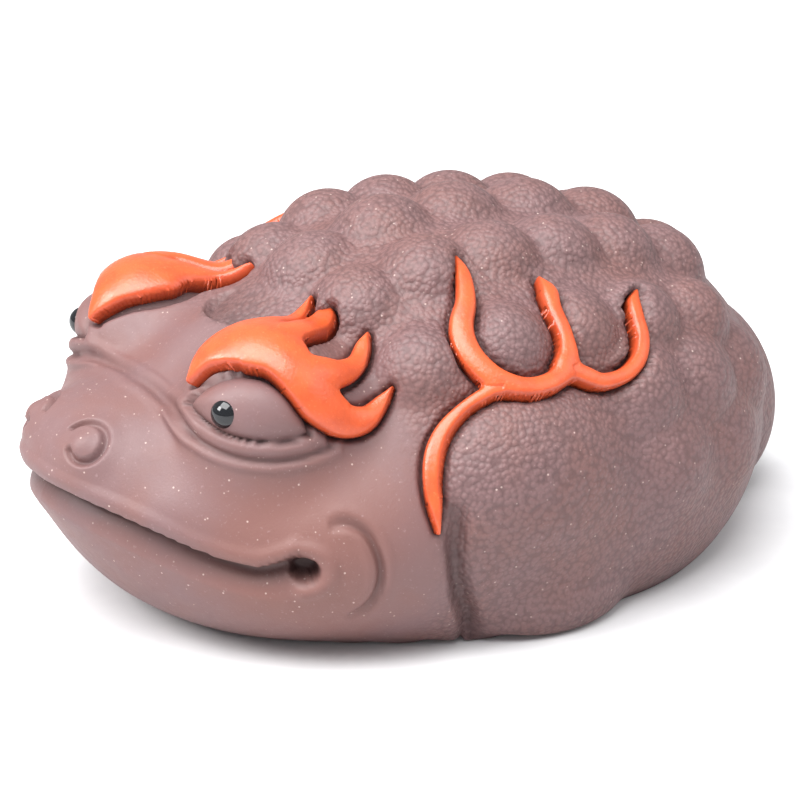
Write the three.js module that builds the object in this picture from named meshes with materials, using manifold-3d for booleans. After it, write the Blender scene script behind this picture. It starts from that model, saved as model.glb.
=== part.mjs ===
// Clay tea pet: a squat money toad with flame brows and flame marks on the shoulders.
// Millimetres, +Z up. The toad looks along -Y, its left side is +X, and it stands on z = 0.
// The origin is the middle of the flat underside.
import * as THREE from 'three';
import { mergeVertices } from 'three/addons/utils/BufferGeometryUtils.js';
import Module from 'manifold-3d';

const wasm = await Module();
wasm.setup();

// Driving sizes
const TRUNK_HALF_WIDTH = 39.5;
const TRUNK_HALF_LENGTH = 44.5;
const TRUNK_MIDDLE_Y = 11.5;
const CORE_Z = 17;
const BACK_RISE = 32;
const JAW_HALF_WIDTH = 37.5;
const JAW_FRONT_REACH = 36;
const FIT_GAP = 0.3;
const BEAD_RADIUS = 2.05;
const FLAME_RISE = 1.9;
const FLAME_DEPTH = 1.3;
const MOUTH_CUT_DEPTH = 2.6;

// Each mass: centre, half sizes, and how softly it blends into what is already there.
const TRUNK = { at: [0, TRUNK_MIDDLE_Y, CORE_Z], size: [TRUNK_HALF_WIDTH, TRUNK_HALF_LENGTH, BACK_RISE] };
const SHOULDERS = { at: [0, -2, 16], size: [38, 28, 31.5], soft: 8 };
const JAW = { at: [0, -15, 15], size: [JAW_HALF_WIDTH, JAW_FRONT_REACH, 20] };
const MUZZLE = { at: [0, -33, 20.5], size: [24, 22.5, 10.5], soft: 6 };
const HEAD_SOFT = 6;
const FOREHEAD = { at: [0, -20, 22], size: [17, 24, 20], soft: 4 };
const EYE_MOUND = { at: [16, -30, 30.5], size: [11, 12.5, 12], soft: 5 };
const SNOUT = { at: [0, -44, 25], size: [13, 12, 7.5], soft: 5 };
const HAUNCH = { at: [0, 50.5, 13], size: [17, 12.5, 16.5], soft: 3 };
const ARM = { at: [30, -0.3, 20.5], size: [11.8, 19, 14.5] };
const FOOT = { at: [28.5, 3.5, 5], size: [10.8, 15, 9] };

// Rows of round bumps: angle from the top of the back, first y, spacing, count, ball radius, rise.
const WART_ROWS = [
  { angle: 0, y: -15.5, step: 12.3, count: 6, radius: 8.2, rise: 3.2 },
  { angle: 24, y: -15.5, step: 10.8, count: 6, radius: 7.6, rise: 3.2 },
  { angle: 48, y: -12.8, step: 11.9, count: 5, radius: 7.0, rise: 2.8 },
  { angle: 64, y: 18.5, step: 12, count: 3, radius: 9.5, rise: 2.2 },
  { angle: 82, y: 21, step: 14, count: 2, radius: 11, rise: 1.8 },
];

const MIRROR_X = new THREE.Vector3(-1, 1, 1);

// The rounded form, measured as a distance that is negative inside

function ellipsoid(p, at, size) {
  const dx = p.x - at[0];
  const dy = p.y - at[1];
  const dz = p.z - at[2];
  const near = Math.hypot(dx / size[0], dy / size[1], dz / size[2]);
  const slope = Math.hypot(dx / size[0] ** 2, dy / size[1] ** 2, dz / size[2] ** 2);
  return (near * (near - 1)) / Math.max(slope, 1e-9);
}

function blend(a, b, soft) {
  const share = Math.min(Math.max(0.5 + (0.5 * (b - a)) / soft, 0), 1);
  return b * (1 - share) + a * share - soft * share * (1 - share);
}

function trunkForm(point) {
  const p = new THREE.Vector3(Math.abs(point.x), point.y, point.z);
  let d = ellipsoid(p, TRUNK.at, TRUNK.size);
  d = blend(d, ellipsoid(p, SHOULDERS.at, SHOULDERS.size), SHOULDERS.soft);
  const head = blend(ellipsoid(p, JAW.at, JAW.size), ellipsoid(p, MUZZLE.at, MUZZLE.size), MUZZLE.soft);
  d = blend(d, head, HEAD_SOFT);
  for (const mass of [FOREHEAD, EYE_MOUND, SNOUT, HAUNCH]) {
    d = blend(d, ellipsoid(p, mass.at, mass.size), mass.soft);
  }
  return d;
}

function form(point) {
  const p = new THREE.Vector3(Math.abs(point.x), point.y, point.z);
  return Math.min(trunkForm(p), ellipsoid(p, ARM.at, ARM.size), ellipsoid(p, FOOT.at, FOOT.size));
}

function surfaceAlong(start, direction, reach, shape = form) {
  const p = start.clone().addScaledVector(direction, reach);
  for (let step = 0; step < 160; step += 1) {
    const d = shape(p);
    if (Math.abs(d) < 0.005) break;
    p.addScaledVector(direction, -0.75 * d);
  }
  return p;
}

function normalAt(p) {
  const e = 0.4;
  const slope = (x, y, z) => {
    const step = new THREE.Vector3(x, y, z);
    return form(p.clone().addScaledVector(step, e)) - form(p.clone().addScaledVector(step, -e));
  };
  return new THREE.Vector3(slope(1, 0, 0), slope(0, 1, 0), slope(0, 0, 1)).normalize();
}

// Solids as closed triangle meshes

function toSolid(geometry) {
  const bare = geometry.clone();
  bare.deleteAttribute('normal');
  bare.deleteAttribute('uv');
  const welded = mergeVertices(bare, 1e-4);
  const solid = new wasm.Manifold(new wasm.Mesh({
    numProp: 3,
    vertProperties: new Float32Array(welded.attributes.position.array),
    triVerts: new Uint32Array(welded.index.array),
  }));
  return solid;
}

function toGeometry(solid) {
  const mesh = solid.getMesh();
  const geometry = new THREE.BufferGeometry();
  geometry.setAttribute('position', new THREE.BufferAttribute(mesh.vertProperties, 3));
  geometry.setIndex(new THREE.BufferAttribute(mesh.triVerts, 1));
  geometry.computeVertexNormals();
  return geometry;
}

function unite(solids) {
  return solids.reduce((all, solid) => all.add(solid));
}

// The main piece of a cut solid, without the loose crumbs a cut can leave.
function largest(solid) {
  return solid.decompose().reduce((best, part) => (part.volume() > best.volume() ? part : best));
}

function meshOf(points, faces) {
  const geometry = new THREE.BufferGeometry();
  geometry.setAttribute('position', new THREE.Float32BufferAttribute(points.flatMap((p) => [p.x, p.y, p.z]), 3));
  let volume = 0;
  for (const [a, b, c] of faces) {
    volume += points[a].dot(new THREE.Vector3().crossVectors(points[b], points[c]));
  }
  geometry.setIndex(faces.flatMap(([a, b, c]) => (volume < 0 ? [a, c, b] : [a, b, c])));
  return geometry;
}

// Rings of points joined one to the next, with a fan closing each end.
function loft(rings) {
  const points = rings.flat();
  const count = rings[0].length;
  const faces = [];
  for (let ring = 0; ring + 1 < rings.length; ring += 1) {
    for (let k = 0; k < count; k += 1) {
      const a = ring * count + k;
      const b = ring * count + ((k + 1) % count);
      faces.push([a, b, b + count], [a, b + count, a + count]);
    }
  }
  for (const [start, flip] of [[0, true], [(rings.length - 1) * count, false]]) {
    const middle = new THREE.Vector3();
    for (let k = 0; k < count; k += 1) middle.addScaledVector(points[start + k], 1 / count);
    const hub = points.push(middle) - 1;
    for (let k = 0; k < count; k += 1) {
      const a = start + k;
      const b = start + ((k + 1) % count);
      faces.push(flip ? [hub, b, a] : [hub, a, b]);
    }
  }
  return toSolid(meshOf(points, faces));
}

function mirrored(solid) {
  const geometry = toGeometry(solid);
  geometry.scale(MIRROR_X.x, MIRROR_X.y, MIRROR_X.z);
  const index = geometry.index.array;
  for (let k = 0; k < index.length; k += 3) {
    [index[k + 1], index[k + 2]] = [index[k + 2], index[k + 1]];
  }
  return toSolid(geometry);
}

// The smooth body: rings round a short spine, from the snout to the haunch

function bodyRings(ringCount, girthCount) {
  const spineHalf = 22;
  const spineZ = 16;
  const spineRiseAtSnout = 8;
  const reach = 90;
  const rings = [];
  for (let ring = 0; ring < ringCount; ring += 1) {
    const along = -1 + 2 * ((ring + 0.5) / ringCount) ** 1.35;
    const tilt = (along * Math.PI) / 2;
    const rise = spineRiseAtSnout * Math.max(0, -along) ** 2;
    const centre = new THREE.Vector3(0, 3 + spineHalf * along, spineZ + rise);
    const points = [];
    for (let k = 0; k < girthCount; k += 1) {
      const even = (2 * Math.PI * k) / girthCount;
      const girth = even - 0.22 * Math.sin(even);
      const direction = new THREE.Vector3(
        Math.sin(girth) * Math.cos(tilt),
        Math.sin(tilt),
        Math.cos(girth) * Math.cos(tilt),
      );
      points.push(surfaceAlong(centre, direction, reach, trunkForm));
    }
    rings.push(points);
  }
  return rings;
}

function limb(mass, aroundCount, upCount) {
  const ball = new THREE.SphereGeometry(1, aroundCount, upCount);
  ball.rotateZ(Math.PI / 2);
  ball.scale(...mass.size);
  ball.translate(...mass.at);
  return toSolid(ball);
}

function wart(angle, y, radius, rise) {
  const girth = THREE.MathUtils.degToRad(angle);
  const top = surfaceAlong(new THREE.Vector3(0, y, 15), new THREE.Vector3(Math.sin(girth), 0, Math.cos(girth)), 80);
  const normal = normalAt(top);
  const profile = [];
  const arcSteps = 3;
  const widest = Math.acos((radius - rise) / radius) + 0.16;
  for (let k = 0; k <= arcSteps; k += 1) {
    const polar = (widest * k) / arcSteps;
    profile.push(new THREE.Vector2(radius * Math.sin(polar), radius * Math.cos(polar)));
  }
  profile.push(new THREE.Vector2(0, radius * Math.cos(widest) - 3));
  const geometry = new THREE.LatheGeometry(profile.reverse(), 8);
  const turn = new THREE.Quaternion().setFromUnitVectors(new THREE.Vector3(0, 1, 0), normal);
  geometry.applyQuaternion(turn);
  const centre = top.clone().addScaledVector(normal, rise - radius);
  geometry.translate(centre.x, centre.y, centre.z);
  return toSolid(geometry);
}

function warts() {
  const solids = [];
  for (const row of WART_ROWS) {
    for (let k = 0; k < row.count; k += 1) {
      const solid = wart(row.angle, row.y + row.step * k, row.radius, row.rise);
      solids.push(solid);
      if (row.angle > 0) solids.push(mirrored(solid));
    }
  }
  return solids;
}

// Flat drawing planes set against the body, in mm: u to the toad's rear, v up, looking from outside

function patch(at, facing) {
  const out = new THREE.Vector3(...facing).normalize();
  const u = new THREE.Vector3(0, 0, 1).cross(out).normalize();
  return { at: new THREE.Vector3(...at), out, u, v: out.clone().cross(u) };
}

const EYE_PATCH = patch([21, -36, 35], [0.66, -0.52, 0.54]);
const SHOULDER_PATCH = patch([34, 1, 35], [0.85, -0.15, 0.5]);
const NOSTRIL_PATCH = patch([7.5, -52, 28.7], [0.4, -0.62, 0.68]);

function press(plane, u, v) {
  const start = plane.at.clone().addScaledVector(plane.u, u).addScaledVector(plane.v, v);
  return surfaceAlong(start, plane.out, 25);
}

// A stroke of the drawing: control points [u, v, width], smoothed and pressed onto the form.
function strokeStations(plane, controls, count) {
  const curve = new THREE.CatmullRomCurve3(controls.map(([u, v, width]) => new THREE.Vector3(u, v, width)));
  return curve.getSpacedPoints(count - 1).map((c) => ({ point: press(plane, c.x, c.y), width: c.z }));
}

function strokeRings(stations, section, tipReach) {
  return stations.map(({ point, width }, k) => {
    const before = stations[Math.max(k - 1, 0)].point;
    const after = stations[Math.min(k + 1, stations.length - 1)].point;
    const run = after.clone().sub(before).normalize();
    const out = normalAt(before).add(normalAt(point)).add(normalAt(after)).normalize();
    const side = run.clone().cross(out).normalize();
    const centre = point.clone();
    if (k === 0) centre.addScaledVector(run, -tipReach);
    if (k === stations.length - 1) centre.addScaledVector(run, tipReach);
    return section(width).map(([across, up]) => (
      centre.clone().addScaledVector(side, across).addScaledVector(out, up)));
  });
}

function domedSection(half, depth, edge, crown) {
  return [[-half, -depth], [-half, edge], [-0.45 * half, crown], [0.45 * half, crown], [half, edge], [half, -depth]];
}

function flameSection(width) {
  const crown = FLAME_RISE * Math.min(1, 0.55 + width / 8);
  return domedSection(width / 2, FLAME_DEPTH, 0.55 * crown, crown);
}

function channelSection(width) {
  const clear = 4;
  return domedSection(width / 2 + FIT_GAP, FLAME_DEPTH + FIT_GAP, clear, clear + FLAME_RISE);
}

// Flame drawings: how many cross sections a tongue gets, then its [u, v, width] controls
const BROW_TONGUES = [
  [9, [[-7.3, 3.2, 1.0], [-5.5, 5.7, 3.1], [-3.0, 7.5, 5.8], [-0.2, 8.2, 7.3], [3.2, 7.0, 6.4], [5.5, 4.9, 5.2],
    [7.6, 2.7, 5.2], [9.3, 0.7, 5.0], [11.6, -0.5, 4.4], [14.3, 0.2, 3.4], [16.3, 2.6, 2.0], [17.7, 4.7, 0.8]]],
  [4, [[6.6, 4.0, 3.4], [8.2, 4.6, 4.4], [10.5, 5.3, 3.5], [12.4, 7.2, 2.7], [13.3, 9.9, 2.2], [13.9, 12.1, 0.8]]],
  [4, [[1.8, 8.6, 3.6], [4.6, 9.9, 3.2], [6.9, 12.4, 3.4], [8.1, 14.5, 2.8], [8.6, 15.9, 0.8]]],
  [4, [[-1.6, 10.2, 2.2], [1.2, 11.6, 2.2], [3.4, 12.9, 2.1], [4.7, 15.2, 1.6], [5.6, 17.7, 0.8]]],
];
const SHOULDER_TONGUES = [
  [6, [[-17.7, -16.6, 0.8], [-17.6, -13.4, 1.9], [-17.4, -10.1, 2.2], [-16.3, -6.6, 2.2], [-14.3, -3.8, 2.0],
    [-11.2, -1.5, 1.8], [-7.8, -0.1, 2.0], [-5.6, 0.4, 2.0]]],
  [11, [[-5.2, 19.8, 0.8], [-5.5, 16.7, 2.0], [-6.8, 12.7, 2.6], [-8.6, 9.5, 3.1], [-9.1, 6.8, 3.3], [-8.4, 4.0, 3.3],
    [-6.3, 1.2, 3.3], [-2.6, -0.3, 2.8], [1.3, 0.2, 2.8], [3.9, 2.2, 3.2], [5.0, 6.0, 2.2], [4.9, 10.0, 2.2],
    [5.2, 12.5, 2.5], [4.8, 14.8, 0.8]]],
  [7, [[3.4, 2.0, 2.4], [6.2, 0.3, 2.6], [8.7, -0.6, 2.2], [12.3, -0.1, 2.1], [15.2, 1.7, 2.2], [16.9, 4.5, 2.1],
    [17.4, 7.5, 2.0], [17.9, 9.9, 1.9], [19.5, 11.9, 0.8]]],
];

function drawing(plane, tongues, section, tipReach) {
  return unite(tongues.map(([count, controls]) => (
    loft(strokeRings(strokeStations(plane, controls, count), section, tipReach)))));
}

// Cuts that carve the face

function mouthPoint(azimuth, z) {
  const turn = THREE.MathUtils.degToRad(azimuth);
  const start = new THREE.Vector3(0, -10, z);
  return surfaceAlong(start, new THREE.Vector3(Math.sin(turn), -Math.cos(turn), 0), 70);
}

// Height of the slit round the muzzle: high in the middle, dipping, then lifting to the corner.
function mouthHeight(azimuth) {
  const reach = Math.abs(azimuth) / 52;
  return 21.6 - 8.6 * reach ** 1.5 + 3.1 * reach ** 6;
}

function mouthCut() {
  const stations = [];
  for (let k = 0; k <= 12; k += 1) {
    const azimuth = -52 + (104 * k) / 12;
    const z = mouthHeight(azimuth);
    const turn = THREE.MathUtils.degToRad(azimuth);
    const out = new THREE.Vector3(Math.sin(turn), -Math.cos(turn), 0);
    const lip = mouthPoint(azimuth, z);
    const heel = lip.clone().addScaledVector(out, -MOUTH_CUT_DEPTH);
    const over = lip.clone().addScaledVector(out, 3);
    stations.push([
      heel.clone().setZ(z - 0.9),
      heel.clone().setZ(z + 0.5),
      over.clone().setZ(z + 0.7),
      over.clone().setZ(z - 4.6),
      lip.clone().addScaledVector(out, -0.4).setZ(z - 2.6),
    ]);
  }
  return loft(stations);
}

function mouthCorner() {
  const at = mouthPoint(52, 15.8);
  const hole = new THREE.SphereGeometry(1, 8, 6);
  hole.scale(2.2, 2.8, 2.1);
  hole.rotateZ(THREE.MathUtils.degToRad(-20));
  hole.translate(at.x - 0.3, at.y, at.z);
  return toSolid(hole);
}

function grooveSection(width, depth) {
  return () => [[0, -depth], [-width / 2 - 0.5, 0.8], [width / 2 + 0.5, 0.8]];
}

function groove(plane, controls, width, depth, count) {
  const stations = strokeStations(plane, controls.map(([u, v]) => [u, v, width]), count);
  return loft(strokeRings(stations, grooveSection(width, depth), 0.2));
}

function faceGrooves() {
  const lid = [[-7.2, 1.2], [-5.4, -2.4], [-2.2, -4.9], [1.6, -5.4], [5.0, -4.2], [7.6, -2.6]];
  const eyeCrease = [[-18.8, 6.7], [-14.6, 4.3], [-9.6, -0.4], [-5.8, -4.9], [-2.4, -7.4], [2.0, -7.9], [6.0, -6.6],
    [10.5, -3.8]];
  const ring = [];
  for (let k = 0; k <= 8; k += 1) {
    const turn = THREE.MathUtils.degToRad(150 - 37 * k);
    ring.push([-0.5 + 3.1 * Math.cos(turn), -0.1 + 3.1 * Math.sin(turn)]);
  }
  return [
    groove(EYE_PATCH, lid, 1.4, 1.2, 9),
    groove(EYE_PATCH, eyeCrease, 1.2, 0.8, 9),
    groove(NOSTRIL_PATCH, ring, 1.2, 0.9, 9),
  ];
}

const CHEEK_PATCH = patch([34, -27, 15], [0.88, -0.46, 0.1]);
const NECK_PATCH = patch([37, -14, 14], [0.95, -0.3, 0]);

function sideGrooves() {
  const smile = [[-4.2, 6.4], [-1.6, 6.6], [0.9, 5.0], [2.4, 1.4], [2.2, -2.2], [0.6, -5.0], [-1.8, -6.6]];
  const neck = [[-0.6, 9.0], [-0.8, 3.0], [0.2, -4.0], [2.2, -10.0], [3.4, -15.0]];
  return [
    groove(CHEEK_PATCH, smile, 1.6, 1.0, 8),
    groove(NECK_PATCH, neck, 2.6, 1.6, 6),
  ];
}

// The shallow scoop between the brows: steep at the front and sides, level at the back.
function crownScoop() {
  const thick = 6;
  const lean = THREE.MathUtils.degToRad(24);
  const disc = new THREE.CylinderGeometry(6.2, 6.2, thick, 20);
  disc.rotateX(Math.PI / 2 + lean);
  const up = new THREE.Vector3(0, -Math.sin(lean), Math.cos(lean));
  const at = surfaceAlong(new THREE.Vector3(0, -25, 15), new THREE.Vector3(0, 0, 1), 60);
  at.addScaledVector(up, thick / 2 - 0.7);
  disc.translate(at.x, at.y, at.z);
  return toSolid(disc);
}

function floorBox() {
  const box = new THREE.BoxGeometry(200, 200, 60);
  box.translate(0, 0, -30);
  return toSolid(box);
}

function bead(at, radius, aroundCount, upCount) {
  const ball = new THREE.SphereGeometry(radius, aroundCount, upCount);
  ball.translate(at.x, at.y, at.z);
  return toSolid(ball);
}

// Building the parts

const beadAt = press(EYE_PATCH, -2.4, -1.0).addScaledVector(EYE_PATCH.out, -1.0);
const leftCuts = [
  drawing(EYE_PATCH, BROW_TONGUES, channelSection, FIT_GAP),
  drawing(SHOULDER_PATCH, SHOULDER_TONGUES, channelSection, FIT_GAP),
  mouthCorner(),
  ...faceGrooves(),
  ...sideGrooves(),
  bead(beadAt, BEAD_RADIUS + FIT_GAP, 9, 6),
];

const leftLimbs = [limb(ARM, 12, 8), limb(FOOT, 12, 7)];
let body = unite([loft(bodyRings(23, 27)), ...warts(), ...leftLimbs, ...leftLimbs.map(mirrored)]);
for (const cut of leftCuts) {
  body = body.subtract(cut).subtract(mirrored(cut));
}
body = largest(body.subtract(mouthCut()).subtract(crownScoop()).subtract(floorBox()));

const browFlame = drawing(EYE_PATCH, BROW_TONGUES, flameSection, 0);
const shoulderFlame = drawing(SHOULDER_PATCH, SHOULDER_TONGUES, flameSection, 0);
const eyeBead = bead(beadAt, BEAD_RADIUS, 10, 7);

const CLAY = { color: 0x6a5050, roughness: 0.62, metalness: 0 };
const FLAME_CLAY = { color: 0xc9542a, roughness: 0.35, metalness: 0 };
const BEAD_GLASS = { color: 0x0b0d10, roughness: 0.08, metalness: 0 };

function piece(name, solid, look) {
  const mesh = new THREE.Mesh(toGeometry(solid), new THREE.MeshStandardMaterial(look));
  mesh.name = name;
  return mesh;
}

const toad = new THREE.Group();
toad.add(piece('body', body, CLAY));
toad.add(piece('brow_flame_left', browFlame, FLAME_CLAY));
toad.add(piece('brow_flame_right', mirrored(browFlame), FLAME_CLAY));
toad.add(piece('shoulder_flame_left', shoulderFlame, FLAME_CLAY));
toad.add(piece('shoulder_flame_right', mirrored(shoulderFlame), FLAME_CLAY));
toad.add(piece('eye_bead_left', eyeBead, BEAD_GLASS));
toad.add(piece('eye_bead_right', mirrored(eyeBead), BEAD_GLASS));

export default toad;
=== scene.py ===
# Looks for a clay money toad tea pet: fine body surface, flame marks, bead eyes, clay materials, light and camera.
# The surfaces are worked out in millimetres in the part's own frame (the toad looks along -Y, +Z up).
import math

import bpy
import numpy as np
from mathutils import Matrix, Vector


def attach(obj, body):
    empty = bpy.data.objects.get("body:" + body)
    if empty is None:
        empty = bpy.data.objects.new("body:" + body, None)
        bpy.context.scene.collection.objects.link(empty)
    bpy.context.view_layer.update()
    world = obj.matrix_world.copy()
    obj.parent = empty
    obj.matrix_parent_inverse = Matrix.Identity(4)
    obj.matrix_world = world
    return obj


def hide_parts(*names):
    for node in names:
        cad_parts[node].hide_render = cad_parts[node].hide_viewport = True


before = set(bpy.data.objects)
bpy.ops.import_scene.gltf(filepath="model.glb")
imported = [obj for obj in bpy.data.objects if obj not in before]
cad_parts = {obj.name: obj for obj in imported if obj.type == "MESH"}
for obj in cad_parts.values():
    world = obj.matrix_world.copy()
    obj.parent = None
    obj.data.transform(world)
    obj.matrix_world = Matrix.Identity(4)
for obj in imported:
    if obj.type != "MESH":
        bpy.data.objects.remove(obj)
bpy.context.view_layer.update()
metresPerMm = 0.001
print("frame loaded")


# Rounded form: each mass is a centre, half sizes and how softly it blends in

masses = {
    "trunk": ((0, 11.5, 17), (39.5, 44.5, 32)),
    "shoulders": ((0, -2, 16), (38, 28, 31.5), 8),
    "jaw": ((0, -15, 15), (37.5, 36, 20)),
    "muzzle": ((0, -33, 20.5), (24, 22.5, 10.5), 6),
    "headSoft": 6,
    "forehead": ((0, -20, 22), (17, 24, 20), 4),
    "eyeMound": ((16, -30, 30.5), (11, 12.5, 12), 5),
    "snout": ((0, -44, 25), (13, 12, 7.5), 5),
    "haunch": ((0, 50.5, 13), (17, 12.5, 16.5), 3),
    "arm": ((30, -0.3, 20.5), (11.8, 19, 14.5)),
    "foot": ((28.5, 3.5, 5), (10.8, 15, 9), 1.0),
    "limbSoft": 1.0,
    "floorSoft": 0.8,
}
# Rows of bumps: angle from the top of the back, first y, spacing, count, ball radius, rise
wartRows = (
    (0, -15.5, 12.3, 6, 8.2, 3.2),
    (24, -15.5, 10.8, 6, 7.6, 3.2),
    (48, -12.8, 11.9, 5, 7.0, 2.8),
    (64, 18, 12, 3, 9.5, 2.2),
    (82, 21, 14, 2, 11, 1.8),
)
wartSoft = 1.1


def ellipsoid(p, at, size):
    q = p - np.asarray(at, float)
    size = np.asarray(size, float)
    near = np.sqrt(((q / size) ** 2).sum(-1))
    slope = np.sqrt(((q / size**2) ** 2).sum(-1))
    return near * (near - 1) / np.maximum(slope, 1e-9)


def blend(a, b, soft):
    share = np.clip(0.5 + 0.5 * (b - a) / soft, 0, 1)
    return b * (1 - share) + a * share - soft * share * (1 - share)


def mirror(p):
    q = p.copy()
    q[..., 0] = np.abs(q[..., 0])
    return q


def trunkForm(p):
    q = mirror(p)
    d = ellipsoid(q, *masses["trunk"])
    at, size, soft = masses["shoulders"]
    d = blend(d, ellipsoid(q, at, size), soft)
    at, size, soft = masses["muzzle"]
    head = blend(ellipsoid(q, *masses["jaw"]), ellipsoid(q, at, size), soft)
    d = blend(d, head, masses["headSoft"])
    for name in ("forehead", "eyeMound", "snout", "haunch"):
        at, size, soft = masses[name]
        d = blend(d, ellipsoid(q, at, size), soft)
    return d


def plainForm(p):
    q = mirror(p)
    at, size, soft = masses["foot"]
    limb = blend(ellipsoid(q, *masses["arm"]), ellipsoid(q, at, size), soft)
    return blend(trunkForm(q), limb, masses["limbSoft"])


def march(start, direction, reach, shape, steps=90):
    r = np.full(len(start), float(reach))
    live = np.arange(len(start))
    for step in range(steps):
        d = shape(start[live] + direction[live] * r[live, None])
        r[live] -= 0.75 * d
        live = live[np.abs(d) > 0.002]
        if len(live) == 0:
            break
    return start + direction * r[:, None]


def normalsOf(p, shape, reach=0.25):
    slopes = []
    for axis in range(3):
        step = np.zeros(3)
        step[axis] = reach
        slopes.append(shape(p + step) - shape(p - step))
    n = np.stack(slopes, -1)
    return n / np.linalg.norm(n, axis=-1, keepdims=True)


def placeWarts():
    balls = []
    for angle, firstY, step, count, radius, rise in wartRows:
        girth = math.radians(angle)
        start = np.array([[0, firstY + step * k, 15.0] for k in range(count)])
        direction = np.tile([math.sin(girth), 0, math.cos(girth)], (count, 1))
        top = march(start, direction, 80, plainForm)
        normal = normalsOf(top, plainForm, 0.4)
        for centre in top + normal * (rise - radius):
            balls.append((centre, radius))
    return balls


warts = placeWarts()


def wartyForm(p):
    q = mirror(p)
    bumps = np.full(q.shape[0], 1e3)
    for centre, radius in warts:
        bumps = np.minimum(bumps, np.linalg.norm(q - centre, axis=-1) - radius)
    return blend(plainForm(q), bumps, wartSoft)


def standingForm(p):
    return -blend(-wartyForm(p), p[..., 2], masses["floorSoft"])


# Small helpers for profiles

def ease(low, high, x):
    t = np.clip((x - low) / (high - low), 0, 1)
    return t * t * (3 - 2 * t)


def hump(centre, half, x):
    t = np.clip(np.abs(x - centre) / half, 0, 1)
    return (1 - t * t) ** 2


def curveThrough(x, knots):
    xs, ys = (np.array(column, float) for column in zip(*knots))
    slopes = np.gradient(ys, xs)
    k = np.clip(np.searchsorted(xs, x) - 1, 0, len(xs) - 2)
    span = xs[k + 1] - xs[k]
    t = np.clip((x - xs[k]) / span, 0, 1)
    a, b = slopes[k] * span, slopes[k + 1] * span
    rise = ys[k + 1] - ys[k]
    return ys[k] + t * a + t * t * (3 * rise - 2 * a - b) + t**3 * (a + b - 2 * rise)


class Patch:
    # A flat drawing plane set against the body: u towards the rear, v up, seen from outside.
    def __init__(self, at, facing):
        self.at = np.array(at, float)
        self.out = np.array(facing, float) / np.linalg.norm(facing)
        self.u = np.cross((0, 0, 1), self.out)
        self.u /= np.linalg.norm(self.u)
        self.v = np.cross(self.out, self.u)

    def flat(self, q):
        return (q - self.at) @ self.u, (q - self.at) @ self.v

    def press(self, u, v, shape=plainForm):
        start = self.at + np.outer(u, self.u) + np.outer(v, self.v)
        return march(start, np.tile(self.out, (len(start), 1)), 25, shape)


eyePatch = Patch((21, -36, 35), (0.66, -0.52, 0.54))
shoulderPatch = Patch((34, 1, 35), (0.85, -0.15, 0.5))
nostrilPatch = Patch((7.5, -52, 28.7), (0.4, -0.62, 0.68))
cheekPatch = Patch((34, -27, 15), (0.88, -0.46, 0.1))
cornerPatch = Patch((31.6, -34.4, 15.7), (0.83, -0.55, 0.07))
neckPatch = Patch((37, -14, 14), (0.95, -0.3, 0))


def smoothPath(controls, perSpan=10):
    c = np.array(controls, float)
    c = np.vstack([2 * c[0] - c[1], c, 2 * c[-1] - c[-2]])
    t = np.linspace(0, 1, perSpan, endpoint=False)[:, None]
    spans = []
    for k in range(1, len(c) - 2):
        a, b, d, e = c[k - 1], c[k], c[k + 1], c[k + 2]
        spans.append(0.5 * (2 * b + (d - a) * t + (2 * a - 5 * b + 4 * d - e) * t**2 + (3 * b - a - 3 * d + e) * t**3))
    return np.vstack(spans + [c[-2:-1]])


def pathDistance(u, v, path):
    # Distance to a smooth path, how far along it (0 to 1), and the width carried by the path there.
    best = np.full(u.shape, 1e3)
    along = np.zeros(u.shape)
    width = np.zeros(u.shape)
    side = np.zeros(u.shape)
    count = len(path) - 1
    for k in range(count):
        (au, av), (bu, bv) = path[k, :2], path[k + 1, :2]
        du, dv = bu - au, bv - av
        t = np.clip(((u - au) * du + (v - av) * dv) / (du * du + dv * dv + 1e-12), 0, 1)
        d = np.hypot(u - au - t * du, v - av - t * dv)
        nearer = d < best
        best = np.where(nearer, d, best)
        along = np.where(nearer, (k + t) / count, along)
        side = np.where(nearer, np.sign((u - au) * dv - (v - av) * du), side)
        if path.shape[1] > 2:
            width = np.where(nearer, path[k, 2] + t * (path[k + 1, 2] - path[k, 2]), width)
    return best, along, width, side


# Flame marks: each tongue is a list of [u, v, width]

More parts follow.
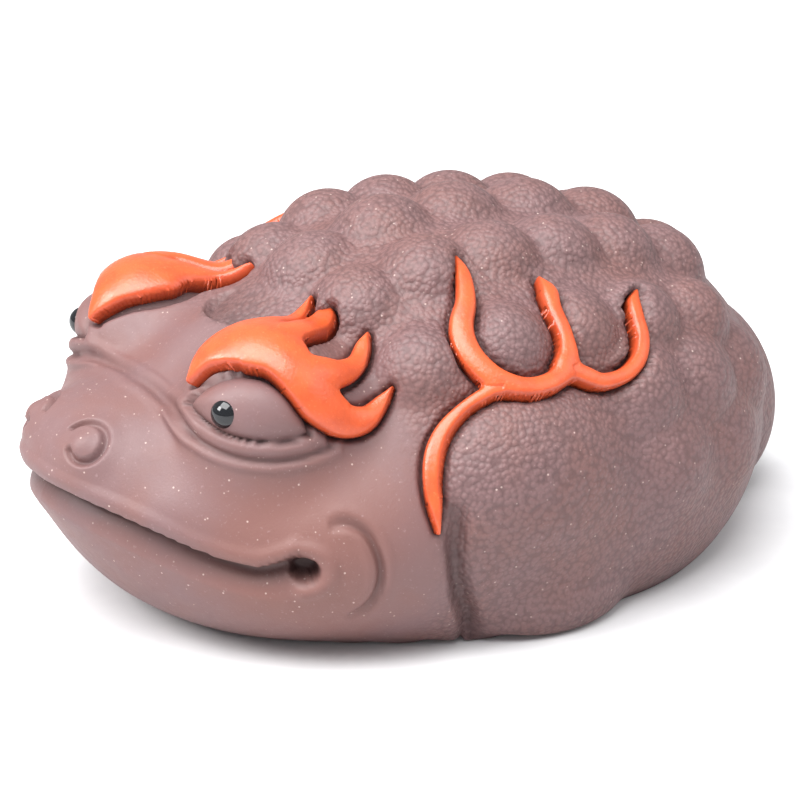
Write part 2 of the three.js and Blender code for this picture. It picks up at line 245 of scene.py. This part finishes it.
flames = {
    "brow": [
        [(-7.3, 3.2, 0.7), (-5.5, 5.7, 3.1), (-3.0, 7.5, 5.8), (-0.2, 8.2, 7.3), (3.2, 7.0, 6.4), (5.5, 4.9, 5.2),
         (7.6, 2.7, 5.2), (9.3, 0.7, 5.0), (11.6, -0.5, 4.4), (14.3, 0.2, 3.4), (16.3, 2.6, 2.0), (17.7, 4.7, 0.4)],
        [(6.6, 4.0, 3.4), (8.2, 4.6, 4.4), (10.5, 5.3, 3.5), (12.4, 7.2, 2.7), (13.3, 9.9, 2.2), (13.9, 12.1, 0.4)],
        [(1.8, 8.6, 3.6), (4.6, 9.9, 3.2), (6.9, 12.4, 3.4), (8.1, 14.5, 2.8), (8.6, 15.9, 0.6)],
        [(-1.6, 10.2, 2.2), (1.2, 11.6, 2.2), (3.4, 12.9, 2.1), (4.7, 15.2, 1.6), (5.6, 17.7, 0.4)],
    ],
    "shoulder": [
        [(-17.7, -16.6, 0.5), (-17.6, -13.4, 1.9), (-17.4, -10.1, 2.2), (-16.3, -6.6, 2.2), (-14.3, -3.8, 2.0),
         (-11.2, -1.5, 1.8), (-7.8, -0.1, 2.0), (-5.6, 0.4, 2.0)],
        [(-5.2, 19.8, 0.4), (-5.5, 16.7, 2.0), (-6.8, 12.7, 2.6), (-8.6, 9.5, 3.1), (-9.1, 6.8, 3.3), (-8.4, 4.0, 3.3),
         (-6.3, 1.2, 3.3), (-2.6, -0.3, 2.8), (1.3, 0.2, 2.8), (3.9, 2.2, 3.2), (5.0, 6.0, 2.2), (4.9, 10.0, 2.2),
         (5.2, 12.5, 2.5), (4.8, 14.8, 0.4)],
        [(3.4, 2.0, 2.4), (6.2, 0.3, 2.6), (8.7, -0.6, 2.2), (12.3, -0.1, 2.1), (15.2, 1.7, 2.2), (16.9, 4.5, 2.1),
         (17.4, 7.5, 2.0), (17.9, 9.9, 1.9), (19.5, 11.9, 0.4)],
    ],
    "joinSoft": 0.9,
    "crown": 1.95,
    "edge": 1.05,
    "root": 1.3,
    "cell": 0.15,
}
flamePatches = {"brow": eyePatch, "shoulder": shoulderPatch}


def flameDistance(u, v, name):
    # Distance to the drawn outline, negative inside, and the local half width.
    total = np.full(u.shape, 1e3)
    half = np.full(u.shape, 0.5)
    for tongue in flames[name]:
        best, along, width, side = pathDistance(u, v, smoothPath(tongue, 8))
        d = best - width / 2
        half = np.where(d < total, width / 2, half)
        total = blend(total, d, flames["joinSoft"])
    return total, half


def nearFlame(u, v, name, margin=3.0):
    us, vs = (np.array([c[k] for tongue in flames[name] for c in tongue]) for k in (0, 1))
    return (u > us.min() - margin) & (u < us.max() + margin) & (v > vs.min() - margin) & (v < vs.max() + margin)


# Face carving, each as a height in mm along the surface normal

face = {
    "lipTop": ((0, 23.3), (8, 22.8), (15.5, 21.7), (24.6, 19.9), (33.6, 17.6), (40, 16.4), (44, 16.1), (48, 16.9), (53, 18.6)),
    "lipBottom": ((0, 19.3), (15.5, 17.1), (24.6, 14.9), (33.6, 13.0), (43.5, 11.7), (52, 11.2), (60, 11.5)),
    "slit": 1.5,
    "slitDepth": 2.3,
    "mouthEnd": 51,
    "cornerSize": (2.5, 2.0),
    "cornerDepth": 4.2,
    "eyeInner": (-8.2, 0.5),
    "eyeOuter": (8.4, -3.0),
    "eyeLowerBow": 3.3,
    "eyeUpperBow": 5.6,
    "eyeEdgeDepth": 1.35,
    "eyeBulge": 1.9,
}


def mouthHeight(q):
    azimuth = np.degrees(np.arctan2(q[:, 0], -(q[:, 1] + 10)))
    top = curveThrough(azimuth, face["lipTop"])
    bottom = curveThrough(azimuth, face["lipBottom"])
    z = q[:, 2]
    floor = top - face["slit"]
    depth = face["slitDepth"]
    wall = ease(top + 0.15, top - 0.25, z)
    bevel = np.clip((z - bottom) / (floor - bottom), 0, 1) ** 1.25
    cut = -depth * np.minimum(wall, np.where(z > floor, 1.0, 0.9 * bevel))
    inFront = (q[:, 1] < -25) & (azimuth < 70)
    fade = ease(face["mouthEnd"] + 2.0, face["mouthEnd"] - 1.5, azimuth) * inFront
    lipRoll = 0.35 * hump(1.3, 1.5, z - top) * fade
    return cut * fade + lipRoll


def mouthCornerHeight(q):
    u, v = cornerPatch.flat(q)
    across, up = face["cornerSize"]
    near = np.hypot(u / across, v / up)
    close = np.linalg.norm(q - cornerPatch.at, axis=-1) < 12
    hole = -face["cornerDepth"] * ease(1.05, 0.62, near)
    rim = 0.45 * hump(1.55, 0.6, near) * ease(-2.5, 0.5, u)
    return (hole + rim) * close


def grooveHeight(q, patch, controls, depth, half, ridge=0.0):
    u, v = patch.flat(q)
    near = np.linalg.norm(q - patch.at, axis=-1) < 30
    height = np.zeros(len(q))
    best, along, width, side = pathDistance(u[near], v[near], smoothPath(controls))
    taper = np.sqrt(np.clip(4 * along * (1 - along), 0, 1))
    profile = -depth * hump(0, half, best)
    profile += ridge * hump(1.6 * half, half, best)
    height[near] = profile * taper
    return height


def eyeDistance(u, v):
    a, b = np.array(face["eyeInner"]), np.array(face["eyeOuter"])
    middle = (a + b) / 2
    chord = b - a
    halfChord = np.linalg.norm(chord) / 2
    up = np.array([-chord[1], chord[0]]) / (2 * halfChord)
    distances = []
    for bow, sign in ((face["eyeLowerBow"], 1), (face["eyeUpperBow"], -1)):
        radius = (halfChord**2 + bow**2) / (2 * bow)
        centre = middle + up * sign * (radius - bow)
        distances.append(np.hypot(u - centre[0], v - centre[1]) - radius)
    return np.maximum(*distances)


def eyeHeight(q):
    u, v = eyePatch.flat(q)
    near = (np.linalg.norm(q - eyePatch.at, axis=-1) < 16) & (q[:, 1] < -18)
    d = eyeDistance(u, v)
    inside = np.clip(-d / 4.4, 0, 1)
    ball = -face["eyeEdgeDepth"] + face["eyeBulge"] * np.sqrt(1 - (1 - inside) ** 2)
    ball -= 0.7 * ease(0.5, 5.0, v)
    lower = ease(3.2, 0.8, v)
    lid = 0.3 * hump(0.9, 0.9, d) * lower
    groove = -0.6 * hump(2.05, 0.6, d) * lower * ease(-9.5, -7.5, u)
    bag = 0.4 * hump(3.0, 0.8, d) * ease(2.0, -1.0, v)
    height = np.where(d < 0, ball, lid + groove + bag)
    edge = ease(0.25, 0.0, np.abs(d))
    height = np.where(np.abs(d) < 0.25, height * (1 - edge) - face["eyeEdgeDepth"] * edge, height)
    return height * near


def nostrilHeight(q):
    u, v = nostrilPatch.flat(q)
    near = np.linalg.norm(q - nostrilPatch.at, axis=-1) < 12
    du, dv = u + 0.5, v + 0.1
    rho = np.hypot(du, dv)
    turn = np.degrees(np.arctan2(dv, du)) % 360
    swell = 0.9 * hump(0, 6.0, rho)
    swept = (150 - turn) % 360
    ringRadius = 3.4 - 1.3 * swept / 300
    gap = ease(318, 296, swept)
    groove = -0.95 * hump(0, 0.75, rho - ringRadius) * gap
    inner = 0.45 * hump(0, 2.2, np.hypot(u + 0.9, v + 0.3))
    return (swell + groove + inner) * near


def scoopHeight(q, p):
    # A shallow round dip between the brows: steep at the front and sides, level at the back.
    lean = math.radians(24)
    across = p[:, 0]
    along = (q[:, 1] + 25) / math.cos(lean)
    near = np.hypot(across / 6.2, along / 5.6)
    depth = 1.35 * ease(5.2, -4.0, along)
    return -depth * ease(1.03, 0.93, near) * (q[:, 2] > 30)


neckLine = [(-0.6, 9.0), (-0.8, 3.0), (0.2, -4.0), (2.2, -10.0), (3.4, -16.0)]
smileLine = [(-4.2, 6.4), (-1.6, 6.6), (0.9, 5.0), (2.4, 1.4), (2.2, -2.2), (0.6, -5.0), (-1.8, -6.6)]
snoutLine = [(-19.5, 7.2), (-14.6, 4.3), (-9.6, -0.4), (-6.6, -4.4)]


def carve(q, p):
    height = mouthHeight(q)
    corner = mouthCornerHeight(q)
    height = np.where(corner < -0.1, np.minimum(height, corner), height + corner)
    height += eyeHeight(q)
    height += nostrilHeight(q)
    height += scoopHeight(q, p)
    height += grooveHeight(q, cheekPatch, smileLine, 1.0, 0.9, 0.15)
    height += grooveHeight(q, neckPatch, neckLine, 2.0, 2.2)
    height += grooveHeight(q, eyePatch, snoutLine, 0.5, 0.9, 0.3)
    return height


# Body grid: rings along a short spine, closed by one point at each end

bodyGrid = {"rings": 349, "around": 284, "headShare": 0.56, "headEnd": -0.22, "underShare": 0.13}


def ringPositions():
    count, headCount = bodyGrid["rings"], int(bodyGrid["rings"] * bodyGrid["headShare"])
    head = np.linspace(-1, bodyGrid["headEnd"], headCount + 1)[1:]
    rear = np.linspace(bodyGrid["headEnd"], 1, count - headCount + 1)[1:]
    along = np.concatenate([head, rear[:-1], [1 - 0.5 * (1 - rear[-2])]])
    kernel = np.hanning(31)
    padded = np.concatenate([np.linspace(along[0] * 2 - along[15], along[0], 15, endpoint=False), along,
                             np.linspace(along[-1], 2 * along[-1] - along[-16], 16)[1:]])
    smooth = np.convolve(padded, kernel / kernel.sum(), "valid")[:count]
    return np.clip(smooth, -0.998, 0.998)


def girthAngles():
    count = bodyGrid["around"]
    under = max(8, int(count * bodyGrid["underShare"]))
    upper = count - under
    edge = math.radians(112)
    top = np.linspace(-edge, edge, upper, endpoint=False)
    bottom = np.linspace(edge, 2 * math.pi - edge, under, endpoint=False)
    return np.concatenate([top, bottom])


def bodyRays():
    along = ringPositions()
    girth = girthAngles()
    tilt = along * math.pi / 2
    rise = 8 * np.maximum(0, -along) ** 2
    centre = np.stack([np.zeros_like(along), 3 + 22 * along, 16 + rise], -1)
    a, b = np.meshgrid(tilt, girth, indexing="ij")
    direction = np.stack([np.sin(b) * np.cos(a), np.sin(a), np.cos(b) * np.cos(a)], -1).reshape(-1, 3)
    start = np.repeat(centre, len(girth), 0)
    poles = np.array([[0, -19, 24.0], [0, 25, 16.0]])
    poleWays = np.array([[0, -1.0, 0], [0, 1.0, 0]])
    return np.vstack([start, poles]), np.vstack([direction, poleWays]), len(along), len(girth)


def gridFaces(rings, around):
    r, k = np.meshgrid(np.arange(rings - 1), np.arange(around), indexing="ij")
    a, b = (r * around + k).ravel(), (r * around + (k + 1) % around).ravel()
    quads = np.stack([a, b, b + around, a + around], -1)
    k = np.arange(around)
    first, last = rings * around, rings * around + 1
    front = np.stack([np.full(around, first), (k + 1) % around, k], -1)
    tail = (rings - 1) * around
    back = np.stack([np.full(around, last), tail + k, tail + (k + 1) % around], -1)
    return quads.tolist() + front.tolist() + back.tolist()


def bodySurface():
    start, direction, rings, around = bodyRays()
    p = march(start, direction, 80, standingForm)
    q = mirror(p)
    # The flames sit in channels: there the surface follows the form without bumps, a little lower.
    reach = np.linalg.norm(p - start, axis=-1)
    seat = np.zeros(len(p))
    for name, patch in flamePatches.items():
        u, v = patch.flat(q)
        close = nearFlame(u, v, name) & (np.linalg.norm(q - patch.at, axis=-1) < 34) & ((q - patch.at) @ patch.out > -16)
        d, half = flameDistance(u[close], v[close], name)
        seat[close] = np.maximum(seat[close], ease(0.75, 0.1, d))
    chosen = np.flatnonzero(seat > 0)
    low = march(start[chosen], direction[chosen], 80, lambda x: plainForm(x) + 0.9)
    lowReach = np.linalg.norm(low - start[chosen], axis=-1)
    reach[chosen] += (np.minimum(lowReach, reach[chosen]) - reach[chosen]) * seat[chosen]
    p = start + direction * reach[:, None]
    q = mirror(p)
    normal = normalsOf(p, standingForm)
    height = carve(q, p)
    height = np.where(q[:, 2] < 0.5, np.minimum(height, 0) * 0, height)
    print("body carved", len(p), "points")
    return p + normal * height[:, None], height, seat, rings, around


def newMesh(name, points, faces):
    mesh = bpy.data.meshes.new(name)
    mesh.from_pydata((points * metresPerMm).tolist(), [], faces)
    mesh.update()
    mesh.shade_smooth()
    return mesh


def newObject(name, mesh, node, material):
    thing = bpy.data.objects.new(name, mesh)
    bpy.context.scene.collection.objects.link(thing)
    mesh.materials.append(material)
    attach(thing, "root")
    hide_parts(node)
    return thing


def addAttribute(mesh, name, values):
    layer = mesh.attributes.new(name, "FLOAT", "POINT")
    layer.data.foreach_set("value", np.asarray(values, np.float32))


# Flame surfaces: a fine sheet over the drawing, closed by walls and an underside

def flameSheet(name):
    patch = flamePatches[name]
    cell = flames["cell"]
    us, vs = (np.array([c[k] for tongue in flames[name] for c in tongue]) for k in (0, 1))
    u, v = np.meshgrid(np.arange(us.min() - 3, us.max() + 3, cell), np.arange(vs.min() - 3, vs.max() + 3, cell),
                       indexing="ij")
    shape = u.shape
    u, v = u.ravel(), v.ravel()
    d, half = flameDistance(u, v, name)
    # Points just outside are drawn in to the outline, so the edge is a clean curve.
    for turn in range(3):
        outside = (d > 0) & (d < 2.2 * cell)
        e = 0.02
        du = (flameDistance(u[outside] + e, v[outside], name)[0] - d[outside]) / e
        dv = (flameDistance(u[outside], v[outside] + e, name)[0] - d[outside]) / e
        slope = np.maximum(du * du + dv * dv, 0.2)
        u[outside] -= d[outside] * du / slope
        v[outside] -= d[outside] * dv / slope
        if turn == 0:
            kept = (d < 0) | (outside & (d < 1.45 * cell))
        d[outside], half[outside] = flameDistance(u[outside], v[outside], name)
        outsideNow = outside
    index = np.arange(len(u)).reshape(shape)
    quads = np.stack([index[:-1, :-1], index[1:, :-1], index[1:, 1:], index[:-1, 1:]], -1).reshape(-1, 4)
    quads = quads[kept[quads].all(1)]
    used = np.unique(quads)
    renumber = np.full(len(u), -1)
    renumber[used] = np.arange(len(used))
    quads = renumber[quads]
    u, v, d, half = u[used], v[used], d[used], half[used]
    base = patch.press(u, v)
    normal = normalsOf(base, plainForm, 0.6)
    inside = np.clip(-d / np.maximum(half, 0.25), 0, 1)
    crown = flames["crown"] * np.minimum(1, 0.55 + half / 4)
    edge = flames["edge"] * np.minimum(1, 0.5 + half / 2)
    bevel = ease(0, 0.28, -d)
    height = edge * (0.72 + 0.28 * bevel) + (crown - edge) * np.sqrt(1 - (1 - inside) ** 2)
    top = base + normal * height[:, None]
    under = base - normal * flames["root"]
    count = len(top)
    edges = np.concatenate([quads[:, [k, (k + 1) % 4]] for k in range(4)])
    key = np.sort(edges, 1)
    code = key[:, 0] * count + key[:, 1]
    unique, first, repeats = np.unique(code, return_index=True, return_counts=True)
    rim = edges[first[repeats == 1]]
    walls = np.stack([rim[:, 1], rim[:, 0], rim[:, 0] + count, rim[:, 1] + count], -1)
    faces = np.concatenate([quads, quads[:, ::-1] + count, walls])
    return np.vstack([top, under]), faces, np.concatenate([d, np.zeros(count)])


def mirrored(points, faces):
    return points * np.array([-1, 1, 1]), faces[:, ::-1]


# Beads

bead = {"at": (-2.4, -1.0), "sink": 1.0, "radius": 2.05, "around": 48, "up": 24}


def beadSurface():
    at = eyePatch.press(np.array([bead["at"][0]]), np.array([bead["at"][1]]))[0] - eyePatch.out * bead["sink"]
    rows, around = bead["up"] - 1, bead["around"]
    polar = np.linspace(0, math.pi, bead["up"] + 1)[1:-1]
    turn = np.linspace(0, 2 * math.pi, around, endpoint=False)
    a, b = np.meshgrid(polar, turn, indexing="ij")
    ring = np.stack([np.sin(a) * np.cos(b), np.sin(a) * np.sin(b), np.cos(a)], -1).reshape(-1, 3)
    points = at + bead["radius"] * np.vstack([ring, [[0, 0, 1], [0, 0, -1]]])
    r, k = np.meshgrid(np.arange(rows - 1), np.arange(around), indexing="ij")
    a, b = (r * around + k).ravel(), (r * around + (k + 1) % around).ravel()
    quads = np.stack([a, a + around, b + around, b], -1).tolist()
    k = np.arange(around)
    topFan = np.stack([np.full(around, rows * around), k, (k + 1) % around], -1).tolist()
    tail = (rows - 1) * around
    lowFan = np.stack([np.full(around, rows * around + 1), tail + (k + 1) % around, tail + k], -1).tolist()
    return points, quads + topFan + lowFan


# Materials

class Wire:
    # A socket in a node tree that can be added, multiplied and mixed like a number.
    def __init__(self, tree, socket):
        self.tree, self.socket = tree, socket

    def math(self, kind, other=None, third=None):
        node = self.tree.nodes.new("ShaderNodeMath")
        node.operation = kind
        for k, value in enumerate((self, other, third)):
            if isinstance(value, Wire):
                self.tree.links.new(value.socket, node.inputs[k])
            elif value is not None:
                node.inputs[k].default_value = value
        return Wire(self.tree, node.outputs[0])

    def __add__(self, other):
        return self.math("ADD", other)

    def __mul__(self, other):
        return self.math("MULTIPLY", other)

    def __sub__(self, other):
        return self.math("SUBTRACT", other)

    __radd__, __rmul__ = __add__, __mul__

    def __rsub__(self, other):
        return (self * -1) + other

    def span(self, low, high):
        # 0 below low, 1 above high, eased between.
        node = self.tree.nodes.new("ShaderNodeMapRange")
        node.interpolation_type = "SMOOTHSTEP"
        self.tree.links.new(self.socket, node.inputs["Value"])
        node.inputs["From Min"].default_value = low
        node.inputs["From Max"].default_value = high
        return Wire(self.tree, node.outputs["Result"])


class Surface:
    def __init__(self, name):
        self.material = bpy.data.materials.new(name)
        self.material.use_nodes = True
        self.tree = self.material.node_tree
        self.tree.nodes.clear()
        out = self.tree.nodes.new("ShaderNodeOutputMaterial")
        self.shader = self.tree.nodes.new("ShaderNodeBsdfPrincipled")
        self.tree.links.new(self.shader.outputs[0], out.inputs["Surface"])
        coordinates = self.tree.nodes.new("ShaderNodeTexCoord")
        self.place = Wire(self.tree, coordinates.outputs["Object"])

    def node(self, kind, settings=None, inputs=None, output=0):
        made = self.tree.nodes.new(kind)
        for name, value in (settings or {}).items():
            setattr(made, name, value)
        for name, value in (inputs or {}).items():
            if isinstance(value, Wire):
                self.tree.links.new(value.socket, made.inputs[name])
            else:
                made.inputs[name].default_value = value
        return Wire(self.tree, made.outputs[output])

    def noise(self, sizeMm, detail=3.0, rough=0.55):
        return self.node("ShaderNodeTexNoise", {"noise_dimensions": "3D"},
                         {"Vector": self.place, "Scale": 1000 / sizeMm, "Detail": detail, "Roughness": rough}, "Fac")

    def cells(self, sizeMm, feature="F1", soft=0.0):
        settings = {"feature": feature}
        inputs = {"Vector": self.place, "Scale": 1000 / sizeMm}
        if feature == "SMOOTH_F1":
            inputs["Smoothness"] = soft
        return self.node("ShaderNodeTexVoronoi", settings, inputs, "Distance")

    def attribute(self, name):
        return self.node("ShaderNodeAttribute", {"attribute_name": name}, None, "Fac")

    def mix(self, share, first, second):
        made = self.tree.nodes.new("ShaderNodeMix")
        made.data_type = "RGBA"
        for socket, value in ((made.inputs[0], share), (made.inputs[6], first), (made.inputs[7], second)):
            if isinstance(value, Wire):
                self.tree.links.new(value.socket, socket)
            else:
                socket.default_value = value if socket != made.inputs[0] else value
        return Wire(self.tree, made.outputs[2])

    def feed(self, name, value):
        socket = self.shader.inputs[name]
        if isinstance(value, Wire):
            self.tree.links.new(value.socket, socket)
        else:
            socket.default_value = value

    def bump(self, height, distanceMm, strength=1.0):
        return self.node("ShaderNodeBump", None,
                         {"Height": height, "Distance": distanceMm * metresPerMm, "Strength": strength}, "Normal")


def linear(red, green, blue):
    values = [c / 255 for c in (red, green, blue)]
    return [c / 12.92 if c <= 0.04045 else ((c + 0.055) / 1.055) ** 2.4 for c in values] + [1.0]


clayLook = {
    "base": linear(112, 84, 84),
    "warm": linear(116, 76, 68),
    # the painted shade colour for the carved hollows and for the grain's low lines
    "pale": linear(150, 124, 124),
    "painted_shade": linear(62, 42, 42),
    "speck": linear(190, 168, 160),
    "rough": 0.56,
    "grainMm": 0.72,
    "grainRise": 0.22,
}


def clayMaterial():
    s = Surface("purple_clay")
    look = clayLook
    grainy = s.attribute("grain")
    warm = s.attribute("warm")
    painted_hollow_shade = s.attribute("painted_hollow_shade")
    patchy = s.noise(9.0, 4.0).span(0.35, 0.7)
    fine = s.noise(0.5, 2.0)
    color = s.mix(patchy * 0.45, look["base"], look["warm"])
    color = s.mix(warm * 0.75, color, look["warm"])
    pits = s.cells(look["grainMm"], "SMOOTH_F1", 0.35)
    # painted shade: the grain's low lines, where the bump dips, are darkened in colour
    color = s.mix(pits.span(0.35, 0.75) * grainy * 0.4, color, look["painted_shade"])
    color = s.mix(fine.span(0.62, 0.78) * 0.35, color, look["pale"])
    specks = s.cells(1.1).span(0.16, 0.08)
    color = s.mix(specks * s.noise(2.1, 1.0).span(0.52, 0.6) * 0.7, color, look["speck"])
    # painted shade: the carved hollows and flame channels are darkened in colour
    color = s.mix(painted_hollow_shade * 0.85, color, look["painted_shade"])
    s.feed("Base Color", color)
    s.feed("Roughness", s.noise(1.4, 2.0) * 0.16 + (look["rough"] - 0.08))
    s.feed("Specular IOR Level", 0.5)
    height = (pits * -1.0) * grainy + s.noise(0.32, 2.0) * 0.16 + s.noise(1.6, 3.0) * 0.5 * grainy
    s.feed("Normal", s.bump(height, look["grainRise"]))
    return s.material


# The darker orange serves for random patches and as painted shade on the flame rims.
flameLook = {"base": linear(206, 84, 38), "deep_tone_and_shade": linear(158, 52, 26), "pale": linear(232, 132, 84), "rough": 0.34}


def flameMaterial():
    s = Surface("orange_clay")
    look = flameLook
    edge = s.attribute("edge")
    patchy = s.noise(3.0, 4.0).span(0.35, 0.7)
    fine = s.noise(0.35, 2.0)
    color = s.mix(patchy * 0.35, look["base"], look["deep_tone_and_shade"])
    color = s.mix(fine.span(0.6, 0.75) * 0.35, color, look["pale"])
    # painted shade: the flame's rim, its outer half millimetre, is darkened towards the darker orange
    color = s.mix(edge * 0.5, color, look["deep_tone_and_shade"])
    s.feed("Base Color", color)
    s.feed("Roughness", s.noise(0.9, 2.0) * 0.2 + (look["rough"] - 0.1))
    s.feed("Specular IOR Level", 0.6)
    s.feed("Normal", s.bump(s.noise(0.5, 2.0), 0.05))
    return s.material


def beadMaterial():
    s = Surface("black_bead")
    s.feed("Base Color", linear(12, 14, 18))
    s.feed("Roughness", s.noise(2.0, 2.0) * 0.04 + 0.05)
    s.feed("Specular IOR Level", 0.6)
    return s.material


clay, flameClay, blackBead = clayMaterial(), flameMaterial(), beadMaterial()


# Where the clay is stippled or warm, and where painted shade darkens the carved hollows and flame channels, as values
# on the body's points

def bodyMasks(q, height, seat):
    eyeU, eyeV = eyePatch.flat(q)
    headSmooth = ease(-13, -20, q[:, 1]) * ease(44, 36, q[:, 2] + 0.25 * (q[:, 1] + 25))
    scoop = ease(6.5, 5.0, np.hypot(q[:, 0], q[:, 1] + 25)) * (q[:, 2] > 34)
    grain = np.clip(np.maximum(1 - headSmooth, scoop), 0, 1)
    cornerNear = np.linalg.norm(q - cornerPatch.at, axis=-1)
    warm = ease(20, 5, cornerNear)
    # painted shade mask: deeper carving and the flame channels get a darker colour
    painted_hollow_shade = np.clip(-height / 2.6, 0, 1)
    painted_hollow_shade = np.maximum(painted_hollow_shade, 0.7 * ease(0.05, 0.7, seat))
    return grain, warm, painted_hollow_shade


def buildBody():
    points, height, seat, rings, around = bodySurface()
    mesh = newMesh("toad_body", points, gridFaces(rings, around))
    grain, warm, painted_hollow_shade = bodyMasks(mirror(points), height, seat)
    addAttribute(mesh, "grain", grain)
    addAttribute(mesh, "warm", warm)
    addAttribute(mesh, "painted_hollow_shade", painted_hollow_shade)
    return newObject("toad_body", mesh, "body", clay)


def buildFlames():
    for name in ("brow", "shoulder"):
        points, faces, depth = flameSheet(name)
        # painted shade mask: 1 on the flame's outline, fading to 0 half a millimetre inside
        edge = ease(-0.5, 0.0, depth)
        for side in ("left", "right"):
            shown = (points, faces) if side == "left" else mirrored(points, faces)
            label = f"{name}_flame_{side}"
            mesh = newMesh("look_" + label, shown[0], shown[1].tolist())
            addAttribute(mesh, "edge", edge)
            newObject("look_" + label, mesh, label, flameClay)
        print(name, "flames built", len(faces), "faces each")


def buildBeads():
    points, faces = beadSurface()
    for side, flip in (("left", 1), ("right", -1)):
        shown = points * np.array([flip, 1, 1])
        ordered = faces if flip > 0 else [face[::-1] for face in faces]
        mesh = newMesh(f"look_eye_bead_{side}", shown, ordered)
        newObject(f"look_eye_bead_{side}", mesh, f"eye_bead_{side}", blackBead)


buildBody()
buildFlames()
buildBeads()
print("pieces built")


# Stage, light and camera

def stagePlane(name, size):
    mesh = bpy.data.meshes.new(name)
    half = size / 2
    mesh.from_pydata([(-half, -half, 0), (half, -half, 0), (half, half, 0), (-half, half, 0)], [], [(0, 1, 2, 3)])
    thing = bpy.data.objects.new(name, mesh)
    bpy.context.scene.collection.objects.link(thing)
    return thing


def buildFloor():
    s = Surface("pale_floor")
    tone = s.noise(12.0, 3.0).span(0.3, 0.7)
    s.feed("Base Color", s.mix(tone * 0.5, linear(226, 226, 227), linear(216, 216, 218)))
    s.feed("Roughness", 0.9)
    floor = stagePlane("floor", 6.0)
    floor.data.materials.append(s.material)


def areaLight(name, azimuth, elevation, distance, size, power, aim=(0, 0, 0.02)):
    data = bpy.data.lights.new(name, "AREA")
    data.shape = "RECTANGLE"
    data.size, data.size_y = size
    data.energy = power
    lamp = bpy.data.objects.new(name, data)
    a, e = math.radians(azimuth), math.radians(elevation)
    back = Vector((math.sin(a) * math.cos(e), -math.cos(a) * math.cos(e), math.sin(e)))
    lamp.location = Vector(aim) + back * distance
    lamp.rotation_mode = "QUATERNION"
    lamp.rotation_quaternion = (-back).to_track_quat("-Z", "Y")
    bpy.context.scene.collection.objects.link(lamp)
    return lamp


def buildLight():
    areaLight("soft_top", 20, 72, 0.9, (0.9, 0.7), 16)
    areaLight("window", -10, 38, 0.8, (0.35, 0.3), 5)
    areaLight("far_fill", 140, 40, 1.2, (0.8, 0.6), 3)
    world = bpy.data.worlds.new("studio")
    bpy.context.scene.world = world
    world.use_nodes = True
    shade = world.node_tree.nodes["Background"]
    shade.inputs["Color"].default_value = (0.92, 0.93, 0.95, 1)
    shade.inputs["Strength"].default_value = 0.62


photoView = {"azimuth": 58, "elevation": 21, "distance": 0.37, "target": (0, 0, 0.022), "lens": 117.0}


def buildCamera():
    a, e = math.radians(photoView["azimuth"]), math.radians(photoView["elevation"])
    back = Vector((math.sin(a) * math.cos(e), -math.cos(a) * math.cos(e), math.sin(e)))
    right = Vector((math.cos(a), math.sin(a), 0))
    up = back.cross(right)
    data = bpy.data.cameras.new("photo_camera")
    data.lens = photoView["lens"]
    data.sensor_width = 36
    data.clip_start, data.clip_end = 0.01, 20
    camera = bpy.data.objects.new("photo_camera", data)
    place = Vector(photoView["target"]) + back * photoView["distance"]
    camera.matrix_world = Matrix.Translation(place) @ Matrix((right, up, back)).transposed().to_4x4()
    bpy.context.scene.collection.objects.link(camera)
    bpy.context.scene.camera = camera


buildFloor()
buildLight()
buildCamera()
bpy.context.scene.view_settings.view_transform = "Standard"
